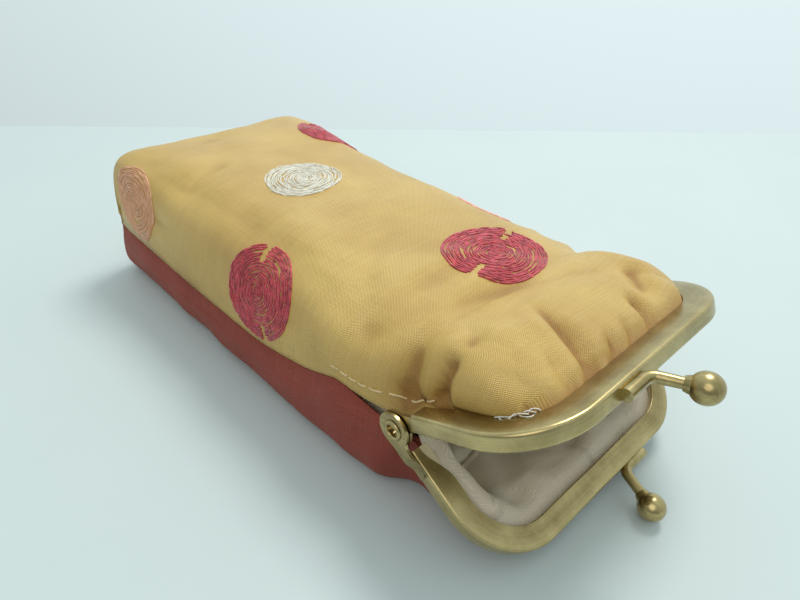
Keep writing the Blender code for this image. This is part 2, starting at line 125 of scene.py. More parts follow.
def toObject(bm, name, finish, body, nodes=(), smooth=40):
    mesh = bpy.data.meshes.new(name)
    bm.to_mesh(mesh)
    bm.free()
    mesh.materials.append(finish)
    mesh.shade_smooth()
    mesh.set_sharp_from_angle(angle=math.radians(smooth))
    obj = linked(name, mesh)
    if body:
        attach(obj, body)
    if nodes:
        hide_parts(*nodes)
    return obj


class Wire:
    # a shader socket that can be added, multiplied and so on
    def __init__(self, nodes, socket):
        self.nodes = nodes
        self.socket = socket

    def maths(self, operation, *values):
        return self.nodes.add("Math", {"operation": operation}, dict(enumerate(values)))

    def __add__(self, other):
        return self.maths("ADD", self, other)

    def __radd__(self, other):
        return self.maths("ADD", other, self)

    def __sub__(self, other):
        return self.maths("SUBTRACT", self, other)

    def __rsub__(self, other):
        return self.maths("SUBTRACT", other, self)

    def __mul__(self, other):
        return self.maths("MULTIPLY", self, other)

    def __rmul__(self, other):
        return self.maths("MULTIPLY", other, self)

    def sine(self):
        return self.maths("SINE", self)

    def size(self):
        return self.maths("ABSOLUTE", self)

    def within(self, low, high, toLow=0, toHigh=1):
        values = {"Value": self, "From Min": low, "From Max": high, "To Min": toLow, "To Max": toHigh}
        return self.nodes.add("MapRange", {"clamp": True}, values)


def inUse(sockets, key):
    # a socket by its name or number, among those that the node's settings leave in use
    left = [socket for socket in sockets if socket.enabled]
    return left[key] if isinstance(key, int) else next(s for s in left if s.name == key)


class Nodes:
    def __init__(self, tree):
        self.tree = tree

    def join(self, value, socket):
        if isinstance(value, Wire):
            self.tree.links.new(value.socket, socket)
        else:
            socket.default_value = value

    def add(self, kind, settings=None, values=None, output=0):
        node = self.tree.nodes.new("ShaderNode" + kind)
        for key, value in (settings or {}).items():
            setattr(node, key, value)
        for key, value in (values or {}).items():
            self.join(value, inUse(node.inputs, key))
        return Wire(self, inUse(node.outputs, output))


class Finish(Nodes):
    def __init__(self, name, **fixed):
        self.material = bpy.data.materials.new(name)
        self.material.use_nodes = True
        super().__init__(self.material.node_tree)
        self.shader = self.tree.nodes["Principled BSDF"]
        for key, value in fixed.items():
            self.feed(key.replace("_", " "), value)

    def feed(self, name, value):
        self.join(value, self.shader.inputs[name])

    def place(self, scale=(1, 1, 1), uv=None):
        if uv:
            source = self.add("UVMap", {"uv_map": uv})
        else:
            source = self.add("TexCoord", output="Object")
        return self.add("Mapping", None, {"Vector": source, "Scale": scale})

    def noise(self, place, scale, detail=3, roughness=0.55):
        values = {"Vector": place, "Scale": scale, "Detail": detail, "Roughness": roughness}
        return self.add("TexNoise", None, values)

    def blendColour(self, factor, first, second):
        return self.add("Mix", {"data_type": "RGBA"}, {"Factor": factor, "A": first, "B": second})

    def bump(self, height, distance, strength=1.0):
        values = {"Height": height, "Distance": distance, "Strength": strength}
        self.feed("Normal", self.add("Bump", None, values))


def colour(red, green, blue):
    # from screen values 0..255 to linear light
    linear = [((v / 255 + 0.055) / 1.055) ** 2.4 for v in (red, green, blue)]
    return (*linear, 1)


# foldShade is how strongly shade is painted into each cloth's folds
silks = {
    "goldSilk": {
        "light": (248, 215, 128),
        "dark": (164, 116, 44),
        "pitch": 0.00052,
        "height": 0.00011,
        "slub": 0.16,
        "roughness": 0.35,
        "sheen": 0.06,
        "foldShade": 0.65,
    },
    "coralSilk": {
        "light": (160, 64, 42),
        "dark": (88, 26, 15),
        "pitch": 0.00058,
        "height": 0.00012,
        "slub": 0.45,
        "roughness": 0.60,
        "sheen": 0.04,
        "foldShade": 0.1,
    },
    "creamSatin": {
        "light": (250, 240, 222),
        "dark": (206, 188, 160),
        "pitch": 0.00056,
        "height": 0.00011,
        "slub": 0.14,
        "roughness": 0.40,
        "sheen": 0.05,
        "foldShade": 0.1,
    },
}
# the last tint turns the dark colour into the darker, more orange-brown shade painted into the folds
weave = {"waver": 0.0012, "sheenTint": (1.0, 0.93, 0.80, 1), "paintedShadeTint": (0.72, 0.52, 0.34, 1)}


def wovenSilk(name):
    silk = silks[name]
    light, dark = colour(*silk["light"]), colour(*silk["dark"])
    slub, rough = silk["slub"], silk["roughness"]
    finish = Finish(name, Sheen_Weight=silk["sheen"], Sheen_Roughness=0.3, Sheen_Tint=weave["sheenTint"])
    place = {"Vector": finish.add("UVMap", {"uv_map": "cloth"})}
    across = finish.add("SeparateXYZ", None, place, "X")
    along = finish.add("SeparateXYZ", None, place, "Y")
    flat = finish.place((1, 1, 1), "cloth")
    waver = finish.noise(flat, 90, 2) * weave["waver"]
    turns = 2 * math.pi / silk["pitch"]
    warp = ((across + waver) * turns).sine()
    weft = ((along + waver) * turns).sine()
    threads = (warp * weft) * 0.5 + 0.5
    slubs = finish.noise(finish.place((60, 1800, 1), "cloth"), 1.0, 2)
    warpSlubs = finish.noise(finish.place((1900, 70, 1), "cloth"), 1.0, 2)
    clouds = finish.noise(flat, 28, 3)
    tone = threads * 0.42 + slubs * slub + warpSlubs * (slub * 0.6) + clouds * 0.45
    plain = finish.blendColour(tone.within(0.28, 0.92), dark, light)
    # painted shade: the cloth's colour turns darker and more orange-brown where it lies in a fold
    paintedFoldShade = finish.add("Attribute", {"attribute_name": "paintedFoldShade"}, None, "Fac")
    paintedShadeColour = tuple(part * tint for part, tint in zip(dark, weave["paintedShadeTint"]))
    finish.feed("Base Color", finish.blendColour(paintedFoldShade * silk["foldShade"], plain, paintedShadeColour))
    finish.feed("Roughness", tone.within(0.0, 1.2) * -0.14 + (rough + 0.08))
    finish.bump(threads + slubs * (slub * 2.2) + warpSlubs * slub, silk["height"])
    return finish.material


# the lighter brass also serves as the highlight painted along the channel's two bends
brass = {
    "wearAndHighlight": (0.62, 0.49, 0.23, 1),
    "aged": (0.22, 0.155, 0.055, 1),
    "bends": (0.0052, 0.0088),
    "bendWidth": (0.0026, 0.0004),
}


def brushedBrass(name, uv=None):
    finish = Finish(name, Metallic=1.0, Coat_Weight=0.2, Coat_Roughness=0.18)
    brush = finish.noise(finish.place((30, 2600, 1) if uv else (2200, 90, 700), uv), 1.0, 3)
    patches = finish.noise(finish.place(), 110, 4)
    spots = finish.noise(finish.place(), 900, 2)
    wearAndHighlight = (patches * 0.8 + brush * 0.40 + spots * 0.15).within(0.42, 0.90)
    if uv:
        # lighter on the channel's two bends: painted highlight along the rounded edges, together with
        # rubbed wear
        profile = finish.add("SeparateXYZ", None, {"Vector": finish.add("UVMap", {"uv_map": uv})}, "Y")
        wearAndHighlight = wearAndHighlight * 0.75
        for bend in brass["bends"]:
            wearAndHighlight = wearAndHighlight + (profile - bend).size().within(*brass["bendWidth"]) * 0.3
        wearAndHighlight = wearAndHighlight.within(0, 1)
    finish.feed("Base Color", finish.blendColour(wearAndHighlight, brass["aged"], brass["wearAndHighlight"]))
    finish.feed("Roughness", wearAndHighlight * -0.10 + 0.34)
    finish.bump(brush + patches * 0.5, 0.000012, 0.6)
    return finish.material


fluffs = {
    "packingPaper": {
        "dark": (190, 170, 130),
        "light": (220, 205, 170),
        "roughness": 0.9,
        "scale": 600,
        "detail": 3,
        "height": 0.0001,
    },
    "wadding": {
        "dark": (225, 222, 214),
        "light": (250, 248, 242),
        "roughness": 0.95,
        "scale": 900,
        "detail": 4,
        "height": 0.0003,
    },
}


def fibrous(name):
    look = fluffs[name]
    finish = Finish(name, Roughness=look["roughness"])
    fibre = finish.noise(finish.place((look["scale"],) * 3), 1.0, look["detail"])
    finish.feed("Base Color", finish.blendColour(fibre, colour(*look["dark"]), colour(*look["light"])))
    finish.bump(fibre, look["height"])
    return finish.material


# dark, light, roughness
threadShades = {
    "crimson": ((128, 18, 30), (228, 78, 92), 0.42),
    "silver": ((196, 186, 164), (240, 234, 220), 0.32),
    "peach": ((204, 138, 96), (234, 180, 138), 0.42),
    "pink": ((232, 152, 134), (248, 194, 176), 0.42),
    "gold": ((206, 170, 110), (244, 222, 176), 0.42),
    "white": ((206, 202, 190), (246, 244, 236), 0.42),
}


def stitchThread(shade):
    dark, light, roughness = threadShades[shade]
    finish = Finish(shade + "Thread", Roughness=roughness, Sheen_Weight=0.35, Sheen_Roughness=0.4)
    strands = finish.noise(finish.place((3000, 3000, 3000)), 1.0, 2)
    patches = finish.noise(finish.place(), 480, 3)
    tone = (strands * 0.5 + patches * 0.8).within(0.42, 0.88)
    finish.feed("Base Color", finish.blendColour(tone, colour(*dark), colour(*light)))
    finish.bump(strands, 0.00006)
    return finish.material


# metres; front is the gold side with the upper frame half, back is the coral side
pouch = {
    "armLength": 0.0399,
    "edgeInset": 0.0040,
    "channelHeight": 0.0042,
    "sheet": 0.0007,
    "gap": 0.00025,
    "length": 0.153,
    "halfWidth": 0.042,
    "flatBorder": 0.0035,
    "squeezeSpread": 2.2,
    "domePower": 2.6,
    "sideRise": {"front": 0.0080, "back": 0.0050},
    "barRise": 0.0240,
    "endWall": 0.0110,
    "endPower": 7.0,
    "endTaper": 0.015,
    "cornerPull": 0.003,
    "cornerPower": 8,
    "bottomSpare": 1.04,
    "hangStart": 0.0012,
    "hang": {"front": 1.0, "back": 0.1},
    "tilt": {"front": math.radians(25.1), "back": -math.radians(30.568)},
    "sign": {"front": 1, "back": -1},
    "word": {"front": "upper", "back": "lower"},
    "seam": [(0.022, 0.0277), (0.037, 0.0223), (0.062, 0.0182), (0.100, 0.0177), (0.153, 0.0189)],
    "openEdge": {"front": (0.008, 0.0309), "back": (0.008, 0.0249)},
    "crown": [
        (0.000, 0.0150),
        (0.014, 0.0165),
        (0.024, 0.0190),
        (0.037, 0.0240),
        (0.062, 0.0288),
        (0.100, 0.0292),
        (0.153, 0.0282),
    ],
    "domes": {
        "front": [(-0.0320, 0.0070), (-0.0200, 0.0105), (-0.0058, 0.0130)],
        "back": [(-0.0320, 0.0060), (-0.0200, 0.0125), (-0.0135, 0.0175), (-0.0058, 0.0232)],
    },
    "powers": {
        "front": [(0.000, 4.0), (0.037, 4.0), (0.100, 4.6), (0.153, 8.5)],
        "back": [(0.000, 9.0), (0.040, 10.5), (0.153, 11.0)],
    },
    "widths": [(-0.0058, 0.0385), (0.008, 0.0405), (0.024, 0.0420), (0.153, 0.0420)],
    "blend": {"front": (-0.0058, 0.014), "back": (-0.0058, 0.0100)},
    "rim": [0.0, 0.0035, 0.0048, 0.0068, 0.0100, 0.0143, 0.0264, 0.0385],
    "cornerStep": 5,
    "halfSheet": 0.060,
}
barDistance = pouch["armLength"] - pouch["edgeInset"]


def frameLine(side, along):
    # where the cloth's edge lies in the frame's channel, as y from the hinge and z
    tilt = pouch["tilt"][side]
    level = pouch["sign"][side] * (pouch["channelHeight"] - pouch["sheet"] - pouch["gap"])
    y = -along * math.cos(tilt) + level * math.sin(tilt)
    return y, hinge[2] + along * math.sin(tilt) + level * math.cos(tilt)


def edgeLine(side, along):
    # the edge from the frame's arm, over the open side and down the seam
    start, (openAt, openHeight) = pouch["widths"][0][0], pouch["openEdge"][side]
    first = frameLine(side, -start)
    seamGap = pouch["sign"][side] * pouch["gap"] / 2
    seamAt, seamHeight = pouch["seam"][0]
    heights = [(start, first[1]), (openAt, openHeight), (seamAt, seamHeight + seamGap)]
    y = np.where(along < openAt, mixed(first[0], openAt, (along - start) / (openAt - start)), along)
    z = np.where(along >= seamAt, through(pouch["seam"], along) + seamGap, through(heights, along))
    inFrame = frameLine(side, -along)
    return np.where(along <= start, inFrame[0], y), np.where(along <= start, inFrame[1], z)


def clothPoints(side, across, along, ending, depth, squeeze):
    # across is -1..1 from edge to edge, along is metres from the hinge, ending 0..1 down the end
    edge = 1 - np.abs(across)
    rim = pouch["rim"]
    inset = through([(i / (len(rim) - 1), step) for i, step in enumerate(rim)], edge)
    reach, half = rim[pouch["cornerStep"]], rim[-1]
    fromBar = along + barDistance
    share = eased(*pouch["blend"][side], along)
    # the rows of points turn round the mouth's two corners
    a, b = 1 - inset / reach, 1 - fromBar / reach
    corner = (a > 0) & (b > 0)
    top = np.maximum(a, b)
    ratio = np.where(a >= b, b / np.maximum(a, 1e-9), 2 - a / np.maximum(b, 1e-9))
    angle = math.pi / 4 * ratio
    xMouth = np.where(corner, half - reach + top * reach * np.cos(angle), half - inset)
    turned = reach - barDistance - top * reach * np.sin(angle)
    place = np.where(corner, turned, along + 0 * inset)
    flat = pouch["flatBorder"] + pouch["squeezeSpread"] * squeeze
    upMouth = through(pouch["domes"][side], along) + 0 * inset
    for room, rise in ((inset, pouch["sideRise"][side]), (fromBar, pouch["barRise"])):
        climb = np.clip((room - flat) / rise, 0, 1)
        upMouth = upMouth * (1 - (1 - climb) ** pouch["domePower"]) ** (1 / pouch["domePower"])
    upMouth = upMouth - squeeze
    out, up = bulge(edge, through(pouch["powers"][side], along))
    xBody = (through(pouch["widths"], along) - depth) * out
    y, z = edgeLine(side, place)
    crown = through(pouch["crown"], along) if side == "front" else z * pouch["bottomSpare"]
    x = mixed(xMouth, xBody, share)
    height = mixed(upMouth, (crown - depth) * up, share)
    endOut, endUp = bulge(1 - ending, pouch["endPower"])
    y = y + (pouch["endWall"] - depth) * endOut
    height = height * endUp
    y = y - pouch["cornerPull"] * (np.abs(x) / pouch["halfWidth"]) ** pouch["cornerPower"] * endOut
    x = x * (1 - pouch["endTaper"] * endOut)
    # near the frame the cloth's height is measured square to the tilted half
    lean = pouch["tilt"][side] * (1 - share)
    near = np.minimum(height, pouch["hangStart"])
    for part, turn in ((near, lean), (height - near, lean * pouch["hang"][side])):
        y = y + pouch["sign"][side] * part * np.sin(turn)
        z = z + pouch["sign"][side] * part * np.cos(turn)
    if side == "back":
        z = np.maximum(z, np.where(share > 0, depth, squeeze))
    return np.stack(np.broadcast_arrays(np.sign(across) * x, y + hinge[1], z), axis=-1)


def runAcross(points):
    # metres along every row of points, from its first one
    steps = np.linalg.norm(np.diff(points, axis=1), axis=2)
    return np.concatenate([np.zeros((len(points), 1)), np.cumsum(steps, axis=1)], axis=1)


def evenAcross(side, along, ending, depth, squeeze, count):
    # each row's points at equal distances along the cloth
    fine = np.linspace(-1, 1, 501)
    run = runAcross(clothPoints(side, fine[None, :], along, ending, depth, squeeze))
    share = np.linspace(0, 1, count)
    across = np.array([np.interp(share * row[-1], row, fine) for row in run])
    across[:, 0], across[:, -1] = -1, 1
    return across


def clothGrid(side, depth, squeeze, spacing, first=-barDistance):
    # rows of points from the bar to the closed end's seam
    last = pouch["length"] - pouch["endWall"]
    along = np.linspace(first, last, round((last - first) / spacing) + 1)
    fine = np.linspace(0, 1, 401)
    nearMiddle = np.array([[0.02]])
    down = clothPoints(side, nearMiddle, np.full((401, 1), last), fine[:, None], depth, squeeze)
    run = runAcross(down.swapaxes(0, 1))[0]
    endSteps = round(run[-1] / spacing)
    ending = np.interp(np.linspace(0, run[-1], endSteps + 1), run, fine)[1:]
    ending = np.concatenate([np.zeros(len(along)), ending])[:, None]
    along = np.concatenate([along, np.full(endSteps, last)])[:, None]
    count = 2 * round(pouch["halfSheet"] / spacing) + 1
    across = evenAcross(side, along, ending, depth, squeeze, count)
    return clothPoints(side, across, along, ending, depth, squeeze)


def flatMap(points):
    # each point's place on the flat sheet: metres from the middle line, and from the bar
    run = runAcross(points)
    middle = points.shape[1] // 2
    across = run - run[:, middle : middle + 1]
    along = runAcross(points[:, middle : middle + 1].swapaxes(0, 1))
    return across, along.T + 0 * across


def weaveMap(points):
    # the weave's own coordinates: true lengths along every row and every column
    run = runAcross(points.swapaxes(0, 1)).T
    pastHinge = 0.02
    start = np.abs(points[:, points.shape[1] // 2, 1] - hinge[1] - pastHinge).argmin()
    return flatMap(points)[0], run - run[start : start + 1]


def edgeMargin(across, along):
    # how far each point lies from the sheet's own edge
    side = np.abs(across[:, -1:]) - np.abs(across)
    return np.minimum(np.minimum(side, along), along.max() - along)


def normalsOf(points):
    found = np.cross(np.gradient(points, axis=1), np.gradient(points, axis=0))
    return found / np.maximum(np.linalg.norm(found, axis=2, keepdims=True), 1e-12)


def pushed(points, distance):
    return points + normalsOf(points) * distance[..., None]


# settings for the shade painted into the cloths' folds
foldShading = {"rounds": 16, "full": 0.00055, "spare": 0.05}


def paintedFoldShadeAmount(points, direction):
    # how far each point lies below the cloth round it, from 0 to 1, which sets how much shade is painted
    # into the cloth's folds
    around = points.copy()
    for _ in range(foldShading["rounds"]):
        beside = around[1:-1, :-2] + around[1:-1, 2:]
        around[1:-1, 1:-1] = (around[:-2, 1:-1] + around[2:, 1:-1] + beside) / 4
    depth = ((around - points) * normalsOf(points)).sum(axis=2) * direction
    return np.clip(depth / foldShading["full"] - foldShading["spare"], 0, 1)


def gridPiece(name, points, side, woven=None):
    # a mesh through rows and columns of points; cells says which point each of its corners is
    rows, columns = points.shape[:2]
    bm = bmesh.new()
    grid = bmesh.ops.create_grid(bm, x_segments=columns - 1, y_segments=rows - 1, size=0.5)
    cells = np.zeros(len(bm.verts), int)
    for vert in grid["verts"]:
        column = round((vert.co.x + 0.5) * (columns - 1))
        row = round((vert.co.y + 0.5) * (rows - 1))
        cells[vert.index] = row * columns + column
        vert.co = points[row, column]
    if woven:
        uv = bm.loops.layers.uv.new("cloth")
        across, along = (value.ravel() for value in woven)
        for face in bm.faces:
            for loop in face.loops:
                cell = cells[loop.vert.index]
                loop[uv].uv = (across[cell], along[cell])
    if side == "back":
        bmesh.ops.reverse_faces(bm, faces=bm.faces)
    mesh = bpy.data.meshes.new(name)
    bm.to_mesh(mesh)
    bm.free()
    return linked(name, mesh), cells


def clothPiece(name, points, side, finish, thickness):
    obj, cells = gridPiece(name, points, side, weaveMap(points))
    # the painted shade for the folds, kept on the points for the silk's colour
    shade = obj.data.attributes.new("paintedFoldShade", "FLOAT", "POINT")
    depths = paintedFoldShadeAmount(points, 1 if side == "front" else -1)
    shade.data.foreach_set("value", depths.ravel()[cells])
    obj.data.materials.append(finish)
    obj.data.shade_smooth()
    shell = obj.modifiers.new("thickness", "SOLIDIFY")
    shell.thickness = thickness
    shell.offset = -1
    shell.use_even_offset = False
    return obj


# each crease: start and end from the hinge in metres, half width, depth
frontCreases = [
    ((-0.0352, -0.0060, 0.0345), (-0.0285, -0.0072, 0.0480), 0.0021, 0.0046),
    ((-0.0152, -0.0290, 0.0465), (-0.0095, -0.0110, 0.0482), 0.0021, 0.0032),
    ((-0.0067, -0.0299, 0.0469), (-0.0035, -0.0240, 0.0475), 0.0016, 0.0017),
    ((0.0015, -0.0290, 0.0465), (0.0028, -0.0240, 0.0475), 0.0013, 0.0013),
    ((0.0112, -0.0281, 0.0460), (0.0128, -0.0200, 0.0481), 0.0017, 0.0025),
    ((-0.0235, -0.0270, 0.0455), (-0.0200, -0.0200, 0.0490), 0.0018, 0.0012),
    ((0.0250, -0.0136, 0.0486), (0.0180, -0.0225, 0.0480), 0.0030, 0.0022),
    ((-0.0168, 0.0078, 0.0454), (0.0219, -0.0103, 0.0482), 0.0045, 0.0012),
    ((-0.0255, -0.0090, 0.0479), (-0.0121, -0.0140, 0.0485), 0.0048, -0.0016),
    ((-0.0365, 0.0020, 0.0339), (-0.0300, 0.0030, 0.0440), 0.0026, 0.0012),
    ((-0.0385, 0.0090, 0.0360), (-0.0250, 0.0060, 0.0460), 0.0030, -0.0009),
    ((-0.0413, 0.0247, 0.0361), (-0.0183, 0.0675, 0.0468), 0.0075, -0.0010),
    ((-0.0400, 0.0160, 0.0370), (-0.0080, 0.0420, 0.0460), 0.0060, 0.0009),
    ((-0.0337, 0.1080, 0.0448), (-0.0132, 0.1116, 0.0469), 0.0045, 0.0008),
    ((-0.0360, 0.1200, 0.0440), (0.0036, 0.1290, 0.0471), 0.0060, -0.0006),
]
creasing = {"rise": (-0.30, 0.20), "fall": (0.65, 1.30), "thickness": 0.006, "edge": (0.0005, 0.005)}


def fromHinge(ends):
    return [np.array(end) + (0, hinge[1], 0) for end in ends]


def creased(points):
    # pushes the cloth in (or out, where the depth is negative) beside each line
    normals = normalsOf(points)
    push = np.zeros(points.shape[:2])
    for start, end, width, depth in frontCreases:
        first, last = fromHinge((start, end))
        way = last - first
        t = ((points - first) @ way) / (way @ way)
        off = points - first - t[..., None] * way
        above = (off * normals).sum(axis=2)
        aside = np.linalg.norm(off - normals * above[..., None], axis=2)
        fade = between(t, creasing["rise"], creasing["fall"])
        fade = fade * np.exp(-((above / creasing["thickness"]) ** 4))
        push += depth * fade * np.exp(-((aside / width) ** 2))
    margin = edgeMargin(*flatMap(points))
    return points - normals * (push * eased(*creasing["edge"], margin))[..., None]


settling = {
    "scale": 20,
    "frames": 26,
    "hold": 0.035,
    "coarse": 2,
    "endRows": 9,
    "uneven": (0.8, 1.2),
    "sideways": 0.6,
    "cloth": {
        "quality": 5,
        "mass": 0.01,
        "air_damping": 3,
        "tension_stiffness": 20,
        "compression_stiffness": 20,
        "shear_stiffness": 8,
        "bending_stiffness": 0.12,
        "vertex_group_mass": "held",
        "pin_stiffness": 1,
        "vertex_group_shrink": "loose",
        "shrink_min": 0,
        "shrink_max": -0.10,
        "use_pressure": True,
    },
}


def settled(points, hold, spare, side, push, seed):
    # a short cloth simulation at a larger scale, held fast at the edges and lightly elsewhere
    scale = settling["scale"]
    obj, cells = gridPiece("settling", points * scale, side)
    chance = np.random.default_rng(seed)
    spare = spare.ravel() * chance.uniform(*settling["uneven"], spare.size)
    for name, weights in (("held", hold.ravel()), ("loose", np.minimum(1, spare))):
        group = obj.vertex_groups.new(name=name)
        for index, cell in enumerate(cells):
            group.add([index], float(weights[cell]), "REPLACE")
    cloth = obj.modifiers.new("cloth", "CLOTH")
    cloth.collision_settings.use_collision = False
    cloth.point_cache.frame_start = 1
    cloth.point_cache.frame_end = settling["frames"]
    for key, value in settling["cloth"].items():
        setattr(cloth.settings, key, value)
    cloth.settings.uniform_pressure_force = push
    cloth.settings.effector_weights.gravity = 0
    scene = bpy.context.scene
    for step in range(1, settling["frames"] + 1):
        scene.frame_set(step)
    found = obj.evaluated_get(bpy.context.evaluated_depsgraph_get()).to_mesh()
    flat = np.empty(len(found.vertices) * 3)
    found.vertices.foreach_get("co", flat)
    result = np.empty((len(cells), 3))
    result[cells] = flat.reshape(-1, 3) / scale
    scene.frame_set(1)
    bpy.data.objects.remove(obj)
    return result.reshape(points.shape)


def filledIn(values, places, count):
    # the rows between those that are given, by straight lines
    columns = values.reshape(len(values), -1).T
    full = np.array([np.interp(np.arange(count), places, column) for column in columns])
    return full.T.reshape(count, *values.shape[1:])


def settledChange(points, hold, spare, side, push, seed):
    # the simulation runs on every second point, short of the gathered end rows
    rows = np.arange(0, len(points) - settling["endRows"], settling["coarse"])
    columns = np.arange(0, points.shape[1], settling["coarse"])
    some = np.ix_(rows, columns)
    coarse, coarseHold = points[some], hold[some]
    coarseHold[[0, -1]] = coarseHold[:, [0, -1]] = 1
    change = settled(coarse, coarseHold, spare[some], side, push, seed) - coarse
    change = filledIn(change, rows, len(points)).swapaxes(0, 1)
    full = filledIn(change, columns, points.shape[1]).swapaxes(0, 1).copy()
    for _ in range(2):
        full[1:-1] = (full[:-2] + 2 * full[1:-1] + full[2:]) / 4
        full[:, 1:-1] = (full[:, :-2] + 2 * full[:, 1:-1] + full[:, 2:]) / 4
    return full


def limited(points, change, inward, outward, direction):
    # keeps the movement along the normal inside its room, and the sideways part small
    normals = normalsOf(points) * direction
    out = (change * normals).sum(axis=2, keepdims=True)
    along = change - out * normals
    soft = np.where(out > 0, outward * np.tanh(out / outward), -inward * np.tanh(-out / inward))
    return points + normals * soft + along * settling["sideways"]


def waves(across, along, count, low, high, height, seed):
    # gentle unevenness of a padded cloth, as a sum of slanting ripples
    chance = random.Random(seed)
    total = np.zeros(np.broadcast(across, along).shape)
    for _ in range(count):
        turn = chance.uniform(0, math.pi)
        wave = chance.uniform(low, high)
        phase = chance.uniform(0, 2 * math.pi)
        line = across * math.cos(turn) + along * math.sin(turn)
        total += np.sin(2 * math.pi * line / wave + phase) / count**0.5
    return total * height


sinking = {"drop": 0.0016, "height": (0.030, 0.044), "along": (0.118, 0.150)}


def sunken(points):
    # the padded top sinks a little between the closed end's two corners
    middle = np.clip(1 - (points[..., 0] / pouch["halfWidth"]) ** 2, 0, 1)
    height = eased(*sinking["height"], points[..., 2])
    end = eased(*sinking["along"], points[..., 1] - hinge[1])
    drop = sinking["drop"] * middle * height * end
    return points - drop[..., None] * np.array([0, 0, 1])


def mouthShare(points):
    return 1 - eased(-0.004, 0.016, points[..., 1] - hinge[1])


def openSide(points, rise, fall):
    # the height between the two cloths' edges, where the sides are left open
    place = points[..., 1] - hinge[1]
    gap = edgeLine("front", place)[1] - edgeLine("back", place)[1]
    return gap * between(place, rise, fall)


goldCloth = {
    "spacing": 0.0011,
    "thickness": 0.00045,
    "freeEdge": (0, 0.008),
    "ripples": {"count": 14, "low": 0.016, "high": 0.045, "height": 0.00035, "seed": 3},
    "mouthPlump": 0.0012,
    "openSide": ((-0.004, 0.003), (0.017, 0.023)),
    "hem": (0, 0.0055),
    "hemDrop": 0.62,
    "heldEdge": 0.0006,
    "hold": (1.3, -0.6),
    "spare": (0.30, 0.70),
    "spareEdge": (0.020, 0.040),
    "push": 0.15,
    "room": (0.0003, 0.0013),
    "roomEdge": (0, 0.012),
}


def makeGoldCloth():
    print("gold cloth")
    finish = wovenSilk("goldSilk")
    cloth = clothGrid("front", 0, 0, goldCloth["spacing"])
    u, v = flatMap(cloth)
    margin = edgeMargin(u, v)
    mouth = mouthShare(cloth)
    swell = waves(u, v, **goldCloth["ripples"]) + goldCloth["mouthPlump"] * mouth
    cloth = creased(sunken(pushed(cloth, swell * eased(*goldCloth["freeEdge"], margin))))
    # the hem hangs over most of the open side
    hem = 1 - eased(*goldCloth["hem"], margin)
    cloth[..., 2] -= goldCloth["hemDrop"] * openSide(cloth, *goldCloth["openSide"]) * hem
    print("settling the gold cloth")
    held, heldMouth = goldCloth["hold"]
    hold = np.where(margin < goldCloth["heldEdge"], 1, settling["hold"] * (held + heldMouth * mouth))
    spare, spareMouth = goldCloth["spare"]
    spare = spare + spareMouth * mouth * (1 - eased(*goldCloth["spareEdge"], margin))
    change = settledChange(cloth, hold, spare, "front", goldCloth["push"], 5)
    least, more = goldCloth["room"]
    room = (least + more * eased(*goldCloth["roomEdge"], margin))[..., None]
    cloth = limited(cloth, change, room * 0.5, room, 1)
    panel = clothPiece("gold_panel", cloth, "front", finish, goldCloth["thickness"])
    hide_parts("front_panel", "front_panel_fold", "front_panel_mouth")
    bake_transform(panel)
    return cloth


coralCloth = {
    "spacing": 0.0012,
    "thickness": 0.00045,
    "freeEdge": (0, 0.008),
    "freeHeight": (0.0005, 0.006),
    "ripples": {"count": 14, "low": 0.014, "high": 0.040, "height": 0.00045, "seed": 7},
    "tuck": 0.0006,
    "neck": ((-0.0062, -0.0045), (-0.0015, 0.002)),
    "neckEdge": (0, 0.005),
    "neckDrop": 0.0030,
    "neckDraw": 0.04,
    "heldEdge": 0.0006,
    "heldHeight": 0.0004,
    "hold": 1.5,
    "spare": (0.25, 0.35),
    "push": 0.2,
    "room": (0.0008, 0.0015),
}


def makeCoralCloth():
    print("coral cloth")
    finish = wovenSilk("coralSilk")
    cloth = clothGrid("back", 0, 0, coralCloth["spacing"])
    u, v = flatMap(cloth)
    margin = edgeMargin(u, v)
    free = eased(*coralCloth["freeEdge"], margin) * eased(*coralCloth["freeHeight"], cloth[..., 2])
    cloth = pushed(cloth, (waves(u, v, **coralCloth["ripples"]) - coralCloth["tuck"]) * free)
    # its edge drops behind the lower frame's neck
    neck = between(cloth[..., 1] - hinge[1], *coralCloth["neck"])
    neck = neck * (1 - eased(*coralCloth["neckEdge"], margin))
    cloth[..., 2] -= coralCloth["neckDrop"] * neck
    cloth[..., 0] *= 1 - coralCloth["neckDraw"] * neck
    print("settling the coral cloth")
    fast = (margin < coralCloth["heldEdge"]) | (cloth[..., 2] < coralCloth["heldHeight"])
    hold = np.where(fast, 1, settling["hold"] * coralCloth["hold"])
    spare, spareMouth = coralCloth["spare"]
    spare = spare + spareMouth * mouthShare(cloth)
    change = settledChange(cloth, hold, spare, "back", coralCloth["push"], 6)
    cloth = limited(cloth, change, *coralCloth["room"], -1)
    cloth[..., 2] = np.maximum(cloth[..., 2], 0)
    panel = clothPiece("coral_panel", cloth, "back", finish, coralCloth["thickness"])
    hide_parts("back_panel", "back_panel_mouth")
    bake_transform(panel)


lining = {
    "depth": 0.00235,
    "squeeze": 0.0007,
    "spacing": 0.0014,
    "thickness": 0.00025,
    "freeEdge": (0, 0.010),
    "ripples": {"count": 16, "low": 0.008, "high": 0.026, "height": 0.0009, "seed": 11},
    "loose": 0.0008,
    "mouthLoose": 0.0016,
    "openSide": ((-0.006, -0.001), (0.019, 0.025)),
    "openReach": 0.46,
    "openEdge": (0, 0.006),
    "body": {"front": "upper_half", "back": "lower_half"},
    "nodes": {
        "front": ("front_lining", "front_lining_fold", "front_lining_mouth"),
        "back": ("back_lining", "back_lining_mouth"),
    },
    "flat": {"front": (0.126, 0.212), "back": (0.128, 0.204)},
    "area": {"front": 0.0223, "back": 0.0214},
}


